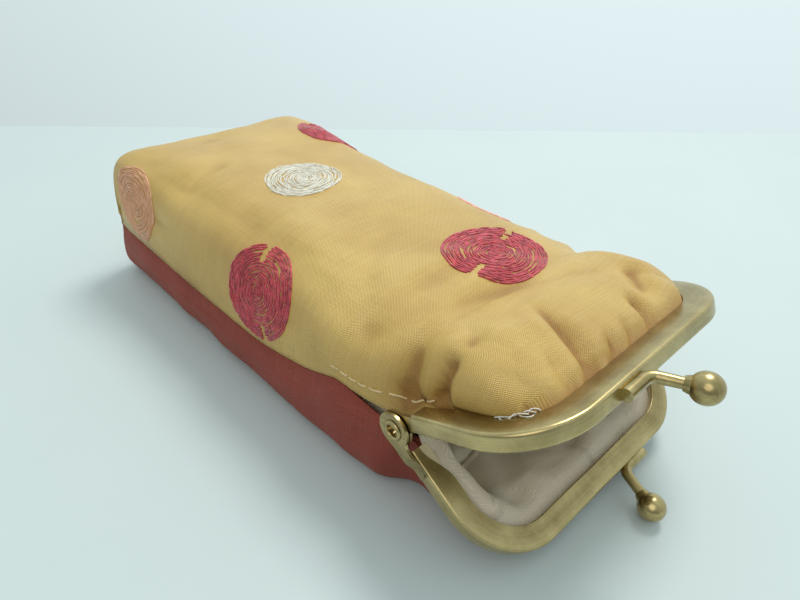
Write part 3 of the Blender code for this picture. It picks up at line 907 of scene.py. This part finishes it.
def makeLinings():
    print("linings")
    cream = wovenSilk("creamSatin")
    for side in ("front", "back"):
        points = clothGrid(side, lining["depth"], lining["squeeze"], lining["spacing"])
        u, v = flatMap(points)
        inward = -pouch["sign"][side]
        loose = lining["loose"] + lining["mouthLoose"] * mouthShare(points)
        ripple = (waves(u, v, **lining["ripples"]) + loose) * eased(*lining["freeEdge"], edgeMargin(u, v))
        points = pushed(points, inward * ripple)
        if side == "front":
            points = sunken(points)
        # the two linings nearly meet where the sides are left open
        edge = 1 - eased(*lining["openEdge"], np.abs(u[:, -1:]) - np.abs(u))
        points[..., 2] += inward * lining["openReach"] * openSide(points, *lining["openSide"]) * edge
        piece = clothPiece(f"{side}_satin_lining", points, side, cream, lining["thickness"])
        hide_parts(*lining["nodes"][side])
        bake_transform(piece)


wadding = {"depth": 0.0017, "spacing": 0.0030, "start": 0.018, "thickness": 0.0005, "padding": 0.4}


def makeWadding():
    print("wadding")
    soft = fibrous("wadding")
    for side in ("front", "back"):
        points = clothGrid(side, wadding["depth"], 0.0, wadding["spacing"], wadding["start"])
        if side == "front":
            points = creased(sunken(points))
        pad = clothPiece(f"{side}_soft_wadding", points, side, soft, wadding["thickness"])
        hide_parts(f"{side}_wadding")
        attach(pad, "pouch")


class Surface:
    # a cloth on which stitches are laid by their place on its flat sheet
    def __init__(self, points):
        self.points = points
        self.both = np.concatenate([points, normalsOf(points)], axis=2)
        self.u, self.v = flatMap(points)

    def nearest(self, place):
        distance = np.linalg.norm(self.points - place, axis=2)
        return np.unravel_index(distance.argmin(), distance.shape)

    def at(self, u, v, lift):
        row = np.interp(v, self.v[:, 0], np.arange(len(self.v)))
        low = min(int(row), len(self.v) - 2)
        ends = []
        for r in (low, low + 1):
            column = np.interp(u, self.u[r], np.arange(self.u.shape[1]))
            c = min(int(column), self.u.shape[1] - 2)
            ends.append(mixed(self.both[r, c], self.both[r, c + 1], column - c))
        place, normal = mixed(*ends, row - low).reshape(2, 3)
        return place + normal / np.linalg.norm(normal) * lift


def tubeMesh(name, paths, radius, resolution, taper=(1, 1)):
    curve = bpy.data.curves.new(name, "CURVE")
    curve.dimensions = "3D"
    curve.bevel_depth = radius
    curve.bevel_resolution = resolution
    curve.use_fill_caps = True
    for path in paths:
        spline = curve.splines.new("POLY")
        spline.points.add(len(path) - 1)
        for i, (point, place) in enumerate(zip(spline.points, path)):
            point.co = (*place, 1)
            point.radius = mixed(*taper, i / (len(path) - 1))
    temporary = linked(name + "_path", curve)
    graph = bpy.context.evaluated_depsgraph_get()
    mesh = bpy.data.meshes.new_from_object(temporary.evaluated_get(graph))
    bpy.data.objects.remove(temporary)
    mesh.name = name
    return mesh


def threads(name, paths, radius, finish, body, nodes=(), resolution=1):
    mesh = tubeMesh(name, paths, radius, resolution)
    mesh.materials.clear()
    mesh.materials.append(finish)
    mesh.shade_smooth()
    obj = linked(name, mesh)
    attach(obj, body)
    if nodes:
        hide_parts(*nodes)
    return obj


embroidery = {
    "ring": 0.00070,
    "thread": 0.00031,
    "stitch": (0.0035, 0.0075),
    "longest": 1.6,
    "step": 0.0011,
    "lift": 0.00026,
    "wander": 0.00020,
    "wobble": 0.00035,
    "uneven": 0.00005,
    "missed": 0.015,
    "edge": 0.0006,
    "notchWidth": 0.0011,
    "notchDepth": 0.60,
    # the silver thread lies looser than the others
    "silverWander": 1.3,
    "silverMissed": 0.06,
}

# radius across, radius along, notch directions in degrees on the flat cloth, colour
spots = {
    "spot_crimson_side": (0.0138, 0.0138, (17, -158), "crimson"),
    "spot_crimson_mouth": (0.0142, 0.0138, (23, -164), "crimson"),
    "spot_crimson_corner": (0.0130, 0.0130, (100, -80), "crimson"),
    "spot_silver": (0.0122, 0.0115, (), "silver"),
    "spot_peach": (0.0125, 0.0130, (), "peach"),
    "spot_pink": (0.0135, 0.0135, (), "pink"),
}


def inNotch(du, dv, share, notches):
    for direction in notches:
        angle = math.radians(direction)
        forward = du * math.cos(angle) + dv * math.sin(angle)
        aside = abs(du * math.sin(angle) - dv * math.cos(angle))
        width = embroidery["notchWidth"] * (share - 0.35)
        if forward > 0 and share > embroidery["notchDepth"] and aside < width:
            return True
    return False


def spotPaths(gold, name, number):
    # rings of long and short stitches, each a little off its line
    wide, long, notches, shade = spots[name]
    silver = shade == "silver"
    chance = random.Random(20 + number)
    low, high = (np.array(c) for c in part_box(name))
    row, column = gold.nearest((low + high) / 2)
    centreU, centreV = gold.u[row, column], gold.v[row, column]
    lastU = abs(gold.u[row, -1]) - embroidery["edge"]
    paths = []
    rings = int(max(wide, long) / embroidery["ring"])
    for ring in range(rings + 1):
        share = 1 - ring / (rings + 0.6)
        a, b = wide * share, long * share
        around = 2 * math.pi * (a + b) / 2
        turn = chance.uniform(0, 2 * math.pi)
        stop = turn + 2 * math.pi
        while turn < stop - 0.02:
            step = chance.uniform(*embroidery["stitch"]) / around * 2 * math.pi
            step = min(step, stop - turn, embroidery["longest"])
            count = max(4, int(step * around / 2 / math.pi / embroidery["step"]) + 2)
            wander = chance.uniform(-embroidery["wander"], embroidery["wander"])
            wander = wander * (embroidery["silverWander"] if silver else 1)
            rarely = embroidery["silverMissed" if silver else "missed"]
            missed = share > 0.3 and chance.random() < rarely
            path = []
            for i in range(count):
                angle = turn + step * i / (count - 1)
                wobble = wander + embroidery["wobble"] * math.sin(3 * angle + number) * share
                du, dv = (a + wobble) * math.cos(angle), (b + wobble) * math.sin(angle)
                if abs(centreU + du) > lastU:
                    continue
                if inNotch(du, dv, share, notches):
                    if len(path) > 1:
                        paths.append(path)
                    path = []
                    continue
                dip = 4 * i * (count - 1 - i) / (count - 1) ** 2
                lift = embroidery["lift"] * (min(1, dip * 1.8) - 0.55)
                lift += chance.uniform(0, embroidery["uneven"])
                path.append(gold.at(centreU + du, centreV + dv, lift))
            if len(path) > 1 and not missed:
                paths.append(path)
            turn += step
    return paths


def makeSpots(gold):
    print("embroidered spots")
    finishes = {shade: stitchThread(shade) for shade in ("crimson", "silver", "peach", "pink")}
    for number, name in enumerate(spots):
        shade = spots[name][-1]
        paths = spotPaths(gold, name, number)
        obj = threads(name + "_stitches", paths, embroidery["thread"], finishes[shade], "pouch", (name,))


sewing = {
    "start": -0.0010,
    "end": 0.0215,
    "inset": 0.0038,
    "dash": 0.0021,
    "space": 0.0008,
    "thread": 0.00026,
    "rise": 0.00028,
    "sink": 0.00012,
    "steps": 6,
}


def makeTopstitch(gold):
    print("topstitching")
    finish = stitchThread("gold")
    for hand, name in ((-1, "topstitch_left"), (1, "topstitch_right")):
        paths = []
        at = sewing["start"] + barDistance
        while at < sewing["end"] + barDistance:
            path = []
            for i in range(sewing["steps"] + 1):
                t = i / sewing["steps"]
                along = at + sewing["dash"] * t
                edge = np.interp(along, gold.v[:, 0], np.abs(gold.u[:, -1]))
                lift = sewing["rise"] * math.sin(math.pi * t) ** 0.5 - sewing["sink"]
                path.append(gold.at(hand * (edge - sewing["inset"]), along, lift))
            paths.append(path)
            at += sewing["dash"] + sewing["space"]
        obj = threads(name + "_thread", paths, sewing["thread"], finish, "pouch", (name,), 2)


looseThreads = {
    "radius": 0.00013,
    "between": ((-0.0345, -0.0200, 0.0425), (-0.0280, -0.0268, 0.0452)),
    "count": 7,
    "start": (0, 0.7),
    "length": (0.2, 0.4),
    "bow": (-0.0016, 0.0022),
    "rise": (0.0004, 0.0012),
    "lift": 0.0002,
    "steps": 8,
}


def smoothed(path):
    found = [np.array(p) for p in path]
    for _ in range(3):
        inner = [(a + 2 * b + c) / 4 for a, b, c in zip(found, found[1:], found[2:])]
        found = [found[0], *inner, found[-1]]
    return found


def makeLooseThreads(gold):
    # a few ends of white thread caught at the edge of the frame
    print("loose threads")
    chance = random.Random(9)
    first, last = fromHinge(looseThreads["between"])
    paths = []
    for _ in range(looseThreads["count"]):
        start = chance.uniform(*looseThreads["start"])
        end = start + chance.uniform(*looseThreads["length"])
        bow, rise = chance.uniform(*looseThreads["bow"]), chance.uniform(*looseThreads["rise"])
        path = []
        for step in range(looseThreads["steps"] + 1):
            t = step / looseThreads["steps"]
            arch = math.sin(math.pi * t)
            spot = gold.nearest(mixed(first, last, mixed(start, end, t)))
            lift = looseThreads["lift"] + rise * arch
            path.append(gold.at(gold.u[spot], gold.v[spot] + bow * arch, lift))
        paths.append(smoothed(path))
    obj = threads("loose_threads", paths, looseThreads["radius"], stitchThread("white"), "upper_half")


metal = {
    "frameWidth": 0.085,
    "armLength": pouch["armLength"],
    "cornerRadius": 0.0183,
    "channelHeight": pouch["channelHeight"],
    "sheet": pouch["sheet"],
    "outerFlange": (0.0047, 0.0070),
    "outerGrowth": (0, 0.011),
    "matingFlange": (0.0022, 0.0055),
    "matingGrowth": (0.0005, 0.010),
    "mateGap": 0.00015,
    "flangeStart": 0.0062,
    "softEdge": 0.0009,
    "crowning": 0.00022,
    "crowningAbove": 0.0035,
    "cornerSteps": 22,
    "armSteps": 12,
    "barSteps": 10,
    "bendSteps": 5,
}


def rounded(corners, radii):
    # a closed outline with each of its corners turned into an arc
    found = []
    for i, (corner, radius) in enumerate(zip(corners, radii)):
        here, before = np.array(corner), np.array(corners[i - 1])
        after = np.array(corners[(i + 1) % len(corners)])
        start = here + (before - here) / np.linalg.norm(before - here) * radius
        end = here + (after - here) / np.linalg.norm(after - here) * radius
        for step in range(metal["bendSteps"] + 1):
            t = step / metal["bendSteps"]
            found.append(tuple((1 - t) ** 2 * start + 2 * t * (1 - t) * here + t**2 * end))
    return found


def channelOutline(flange, mating):
    low, top, sheet = metal["mateGap"], metal["channelHeight"], metal["sheet"]
    soft, fine, tight = metal["softEdge"], 0.0003, 0.00022
    corners = [
        (mating, low),
        (0, low),
        (0, top),
        (flange, top),
        (flange, top - sheet),
        (sheet, top - sheet),
        (sheet, low + sheet),
        (mating, low + sheet),
    ]
    return rounded(corners, [tight, soft * 0.75, soft, fine, tight, fine, fine, tight])


def uStations():
    # (place, inward, distance from the nearer arm's end, distance from the first) round one half
    half, radius = metal["frameWidth"] / 2, metal["cornerRadius"]
    centreY = -(metal["armLength"] - radius)
    found = []
    for step in range(metal["armSteps"]):
        y = mixed(-metal["flangeStart"], centreY, step / metal["armSteps"])
        found.append((Vector((-half, y, 0)), Vector((1, 0, 0))))
    for step in range(metal["cornerSteps"] + 1):
        turn = math.pi / 2 * step / metal["cornerSteps"]
        out = Vector((-math.cos(turn), -math.sin(turn), 0))
        found.append((Vector((-half + radius, centreY, 0)) + out * radius, -out))
    mirrored = [(Vector((-p.x, p.y, 0)), Vector((-n.x, n.y, 0))) for p, n in reversed(found)]
    bar = half - radius
    for step in range(1, metal["barSteps"]):
        x = mixed(-bar, bar, step / metal["barSteps"])
        found.append((Vector((x, -metal["armLength"], 0)), Vector((0, 1, 0))))
    found += mirrored
    run = [0]
    for (a, _), (b, _) in zip(found, found[1:]):
        run.append(run[-1] + (b - a).length)
    return [(p, n, min(d, run[-1] - d), d) for (p, n), d in zip(found, run)]


def channelSweep(sign):
    bm = bmesh.new()
    uv = bm.loops.layers.uv.new("brushed")
    first, last, place = None, None, {}
    for station, inward, near, distance in uStations():
        flange = mixed(*metal["outerFlange"], float(eased(*metal["outerGrowth"], near)))
        mating = mixed(*metal["matingFlange"], float(eased(*metal["matingGrowth"], near)))
        outline = channelOutline(flange, mating)
        ring, along = [], 0
        for i, (inset, height) in enumerate(outline):
            if i:
                along += math.dist(outline[i - 1], outline[i])
            if height > metal["crowningAbove"]:
                height += metal["crowning"] * math.sin(math.pi * min(1, inset / flange))
            vert = bm.verts.new(station + inward * inset + Vector((0, 0, sign * height)))
            place[vert] = (distance, along)
            ring.append(vert)
        edges = closedRing(bm, ring)
        if last:
            bmesh.ops.bridge_loops(bm, edges=last + edges)
        first = first or edges
        last = edges
    bmesh.ops.contextual_create(bm, geom=first)
    bmesh.ops.contextual_create(bm, geom=last)
    bmesh.ops.recalc_face_normals(bm, faces=bm.faces)
    for face in bm.faces:
        for loop in face.loops:
            loop[uv].uv = place[loop.vert]
    return bm


def closedRing(bm, verts):
    return [bm.edges.new((verts[i - 1], verts[i])) for i in range(len(verts))]


ear = {
    "radius": 0.0044,
    "hole": 0.0020,
    "thick": 0.0007,
    "arc": range(-172, 114, 8),
    "neckStart": -0.0070,
    "neckEnd": -0.0125,
    "top": 0.0039,
    "bottom": 0.0003,
    "faceX": {"front": 0.0421, "back": 0.04315},
    "joggle": (-0.0098, -0.0072),
    "joggleCuts": (0, 0.33, 0.66, 1),
    "soften": 0.00016,
}


def addEar(bm, hand, side):
    # a flat eye round the rivet with a neck that runs into the channel's web
    sign, face = pouch["sign"][side], ear["faceX"][side]
    top, bottom, neckStart = ear["top"], ear["bottom"], ear["neckStart"]
    turns = [math.radians(degrees) for degrees in ear["arc"]]
    outer = [(math.cos(turn) * ear["radius"], math.sin(turn) * ear["radius"]) for turn in turns]
    outer += [(-0.0030, top), (neckStart, top), (ear["neckEnd"], top)]
    outer += [(ear["neckEnd"], bottom), (neckStart, bottom), (-0.0052, bottom * 0.3)]
    inner = [(y / math.hypot(y, z) * ear["hole"], z / math.hypot(y, z) * ear["hole"]) for y, z in outer]
    low = face - ear["thick"] / 2
    start = len(bm.verts)
    edges = []
    for ring in (outer, inner):
        edges += closedRing(bm, [bm.verts.new((hand * low, y, sign * z)) for y, z in ring])
    made = bmesh.ops.bridge_loops(bm, edges=edges)
    grown = bmesh.ops.extrude_face_region(bm, geom=made["faces"])
    for item in grown["geom"]:
        if isinstance(item, bmesh.types.BMVert):
            item.co.x += hand * ear["thick"]
    bm.verts.ensure_lookup_table()
    verts = bm.verts[start:]
    if side == "back":
        # the lower half's necks step outwards, so that its eyes lap outside the upper ones
        far, near = ear["joggle"]
        for share in ear["joggleCuts"]:
            verts = [v for v in verts if v.is_valid]
            faces = {f for v in verts for f in v.link_faces}
            geometry = list(faces) + list({e for f in faces for e in f.edges}) + verts
            cut = (0, mixed(far, near, share), 0)
            bmesh.ops.bisect_plane(bm, geom=geometry, plane_co=cut, plane_no=(0, 1, 0))
            bm.verts.ensure_lookup_table()
            verts = bm.verts[start:]
        webX = metal["frameWidth"] / 2 - metal["sheet"] / 2
        for vert in verts:
            vert.co.x += hand * (webX - face) * (1 - float(eased(far, near, vert.co.y)))
    bmesh.ops.recalc_face_normals(bm, faces=list({f for v in verts for f in v.link_faces}))


def halfPlace(side):
    place = Matrix.Translation(Vector(hinge))
    return place @ Matrix.Rotation(-pouch["tilt"][side], 4, "X")


def inBrass(bm, name, finish, body, nodes, smooth):
    obj = toObject(bm, name, finish, body, nodes, smooth)
    return obj


def makeMetal():
    print("metal frame and clasp")
    framed = brushedBrass("brushedFrame", "brushed")
    plain = brushedBrass("brushedBrass")
    for side, body in (("front", "upper_half"), ("back", "lower_half")):
        word = pouch["word"][side]
        bm = channelSweep(pouch["sign"][side])
        bm.transform(halfPlace(side))
        inBrass(bm, f"{word}_channel", framed, body, (f"{word}_frame",), 50)
        bm = bmesh.new()
        for hand in (-1, 1):
            addEar(bm, hand, side)
        bm.transform(halfPlace(side))
        ears = inBrass(bm, f"{word}_ears", plain, body, (), 35)
        soften = ears.modifiers.new("soft edges", "BEVEL")
        soften.width = ear["soften"]
        soften.segments = 2
        soften.limit_method = "ANGLE"
        makeClasp(side, plain, body)
    for hand, name in ((-1, "rivet_left"), (1, "rivet_right")):
        makeRivet(hand, name, plain)


clasp = {
    "stem": 0.0012,
    "ball": 0.0035,
    "endX": 0.016,
    "bendX": 0.0068,
    "bendReach": 0.0022,
    "height": 0.0018,
    "ballX": 0.0036,
    "reach": 0.0107,
    "drop": 0.0012,
    "taper": (1.30, 1.08),
    "collar": {"radius1": 0.0016, "radius2": 0.0021, "depth": 0.0016},
}


def makeClasp(side, finish, body):
    word, sign = pouch["word"][side], pouch["sign"][side]
    off = -(metal["armLength"] + clasp["stem"] * 0.72)
    ball = Vector((-clasp["ballX"], -(metal["armLength"] + clasp["reach"]), -clasp["drop"]))
    bend = Vector((-clasp["bendX"], off, clasp["height"]))
    toBall = (ball - bend).normalized()
    # along the bar, round the bend and out to the ball
    end = Vector((-clasp["endX"], off, clasp["height"]))
    a = bend - Vector((clasp["bendReach"], 0, 0))
    b = bend + toBall * clasp["bendReach"]
    route = [mixed(end, a, step / 6) for step in range(7)]
    for step in range(1, 9):
        t = step / 9
        route.append((1 - t) ** 2 * a + 2 * t * (1 - t) * bend + t * t * b)
    route += [mixed(b, ball - toBall * clasp["ball"] * 0.9, step / 4) for step in range(5)]
    path = [(sign * place.x, place.y, sign * place.z) for place in route]
    bm = bmesh.new()
    bm.from_mesh(tubeMesh(f"{word}_stem_tube", [path], clasp["stem"], 8, clasp["taper"]))
    bmesh.ops.remove_doubles(bm, verts=bm.verts, dist=1e-7)
    bm.transform(halfPlace(side))
    inBrass(bm, f"{word}_stem", finish, body, (f"{word}_clasp_stem",), 50)
    bm = bmesh.new()
    bmesh.ops.create_uvsphere(bm, u_segments=48, v_segments=28, radius=clasp["ball"])
    # the collar where the ball meets its stem
    collar = bmesh.ops.create_cone(bm, cap_ends=True, segments=32, **clasp["collar"])
    bmesh.ops.translate(bm, verts=collar["verts"], vec=(0, 0, -clasp["ball"] + 0.0001))
    axis = Vector((sign * toBall.x, toBall.y, sign * toBall.z))
    bm.transform(axis.to_track_quat("Z", "Y").to_matrix().to_4x4())
    bm.transform(Matrix.Translation((sign * ball.x, ball.y, sign * ball.z)))
    bm.transform(halfPlace(side))
    inBrass(bm, f"{word}_ball", finish, body, (f"{word}_clasp_ball",), 60)


rivet = {"barrel": 0.0019, "bore": 0.00145, "roll": 0.00052, "flange": 0.0026, "spare": 0.0001}


def makeRivet(hand, name, finish):
    reach = ear["thick"] / 2 + rivet["spare"]
    inside, outside = ear["faceX"]["front"] - reach, ear["faceX"]["back"] + reach
    middle, half = (rivet["bore"] + rivet["flange"]) / 2, (rivet["flange"] - rivet["bore"]) / 2
    profile = []
    for end, way in ((outside, 1), (inside, -1)):
        turns = [math.pi * step / 8 for step in range(9)]
        arc = [(end + way * rivet["roll"] * math.sin(t), middle - math.cos(t) * half) for t in turns]
        arc.append((end, rivet["barrel"]))
        profile += arc if way > 0 else reversed(arc)
    bm = bmesh.new()
    ring = [bm.verts.new((hand * x, 0, r)) for x, r in profile]
    turned = {"cent": (0, 0, 0), "axis": (1, 0, 0), "angle": 2 * math.pi, "steps": 48}
    bmesh.ops.spin(bm, geom=ring + closedRing(bm, ring), use_merge=True, **turned)
    bmesh.ops.remove_doubles(bm, verts=bm.verts, dist=1e-7)
    bmesh.ops.recalc_face_normals(bm, faces=bm.faces)
    bm.transform(Matrix.Translation(Vector(hinge)))
    inBrass(bm, name + "_tube", finish, "pouch", (name,), 45)


def recolourCords():
    paper = fibrous("packingPaper")
    for name in ("upper_packing_cord", "lower_packing_cord"):
        cord = frame["nodes"][name].data
        cord.materials.clear()
        cord.materials.append(paper)


table = {
    "half": 3,
    "edgePoint": (0.1562, 0.1536, -0.0003),
    "edgeTurn": math.radians(-38.33),
    "dark": (196, 207, 206),
    "light": (202, 212, 211),
}


def makeStage():
    print("table")
    finish = Finish("paleTable", Roughness=0.55)
    grain = finish.noise(finish.place(), 14, 3)
    finish.feed("Base Color", finish.blendColour(grain, colour(*table["dark"]), colour(*table["light"])))
    # the table ends along a slanting line behind the case
    bm = bmesh.new()
    bmesh.ops.create_grid(bm, x_segments=1, y_segments=1, size=table["half"])
    edge = Matrix.Translation(table["edgePoint"]) @ Matrix.Rotation(table["edgeTurn"], 4, "Z")
    bm.transform(edge @ Matrix.Translation((0, -table["half"], 0)))
    toObject(bm, "table_top", finish.material, None)


room = {"colour": (0.81, 0.94, 0.96, 1), "bright": (0.75, 0.35, 0.55), "dim": 0.24, "span": (-0.8, 0.9)}
lights = {
    "window": {
        "place": (0.44, 0.12, 0.84),
        "target": (0, -0.02, 0.02),
        "size": 0.36,
        "energy": 4.5,
        "tint": (1.0, 1.0, 0.97),
    },
    "fill": {
        "place": (-0.6, -0.3, 0.7),
        "target": (0, 0, 0.02),
        "size": 0.8,
        "energy": 1.7,
        "tint": (1.0, 0.97, 0.92),
    },
}


def makeLight():
    print("light")
    world = bpy.data.worlds.new("room")
    world.use_nodes = True
    around = Nodes(world.node_tree)
    background = around.tree.nodes["Background"]
    background.inputs["Color"].default_value = room["colour"]
    # the room is brighter on the window's side
    ways = {0: around.add("TexCoord", output="Generated"), 1: Vector(room["bright"]).normalized()}
    facing = around.add("VectorMath", {"operation": "DOT_PRODUCT"}, ways, "Value")
    around.join(facing.within(*room["span"], room["dim"], 1.0), background.inputs["Strength"])
    bpy.context.scene.world = world
    for name, light in lights.items():
        data = bpy.data.lights.new(name, "AREA")
        data.shape = "DISK"
        data.size = light["size"]
        data.energy = light["energy"]
        data.color = light["tint"]
        lamp = linked(name, data)
        lamp.location = light["place"]
        away = Vector(light["target"]) - Vector(light["place"])
        lamp.rotation_euler = away.to_track_quat("-Z", "Y").to_euler()
    bpy.context.scene.view_settings.view_transform = "Standard"


makeCamera()
gold = Surface(makeGoldCloth())
makeCoralCloth()
makeLinings()
makeWadding()
makeSpots(gold)
makeTopstitch(gold)
makeLooseThreads(gold)
makeMetal()
recolourCords()
makeStage()
makeLight()
